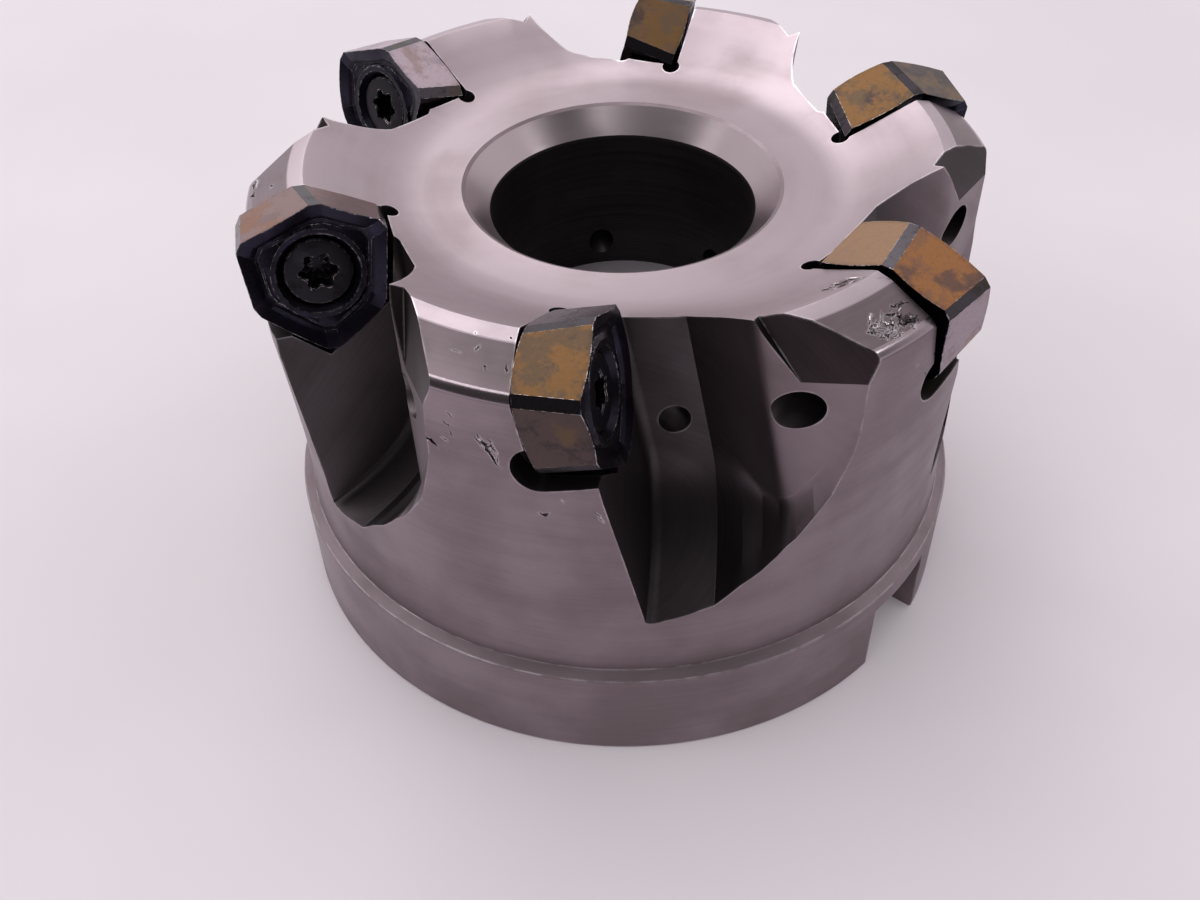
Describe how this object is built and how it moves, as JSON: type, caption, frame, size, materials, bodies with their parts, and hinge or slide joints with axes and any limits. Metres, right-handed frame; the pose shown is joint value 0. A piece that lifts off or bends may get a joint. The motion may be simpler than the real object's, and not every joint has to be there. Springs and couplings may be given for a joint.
{
  "type": "face mill with indexable inserts",
  "caption": "Shell-type face mill: a turned steel cutter body with gullets, screwed-on double-sided hexagonal carbide inserts, a counterbored bore and drive slots.",
  "frame": {"origin": "centre of the hub's back face, on the cutter's axis", "axes": "+Z along the axis towards the cutting face; the insert that faces the viewer in the picture lies 7.75 degrees from -Y towards -X"},
  "size_m": [0.076, 0.0784, 0.0509],
  "materials": {
    "cutter_steel": "satin turned and milled steel, slightly worn, brown-grey in the gullets",
    "coated_carbide": "coated carbide: near-black rake faces and bronze to pale gold flanks",
    "screw_steel": "black-oxide steel, satin"
  },
  "bodies": {
    "root": {"cutter_body": "cutter_steel", "insert_1": "coated_carbide", "insert_2": "coated_carbide", "insert_3": "coated_carbide", "insert_4": "coated_carbide", "insert_5": "coated_carbide", "insert_6": "coated_carbide", "insert_screw_1": "screw_steel", "insert_screw_2": "screw_steel", "insert_screw_3": "screw_steel", "insert_screw_4": "screw_steel", "insert_screw_5": "screw_steel", "insert_screw_6": "screw_steel"}
  },
  "joints": []
}
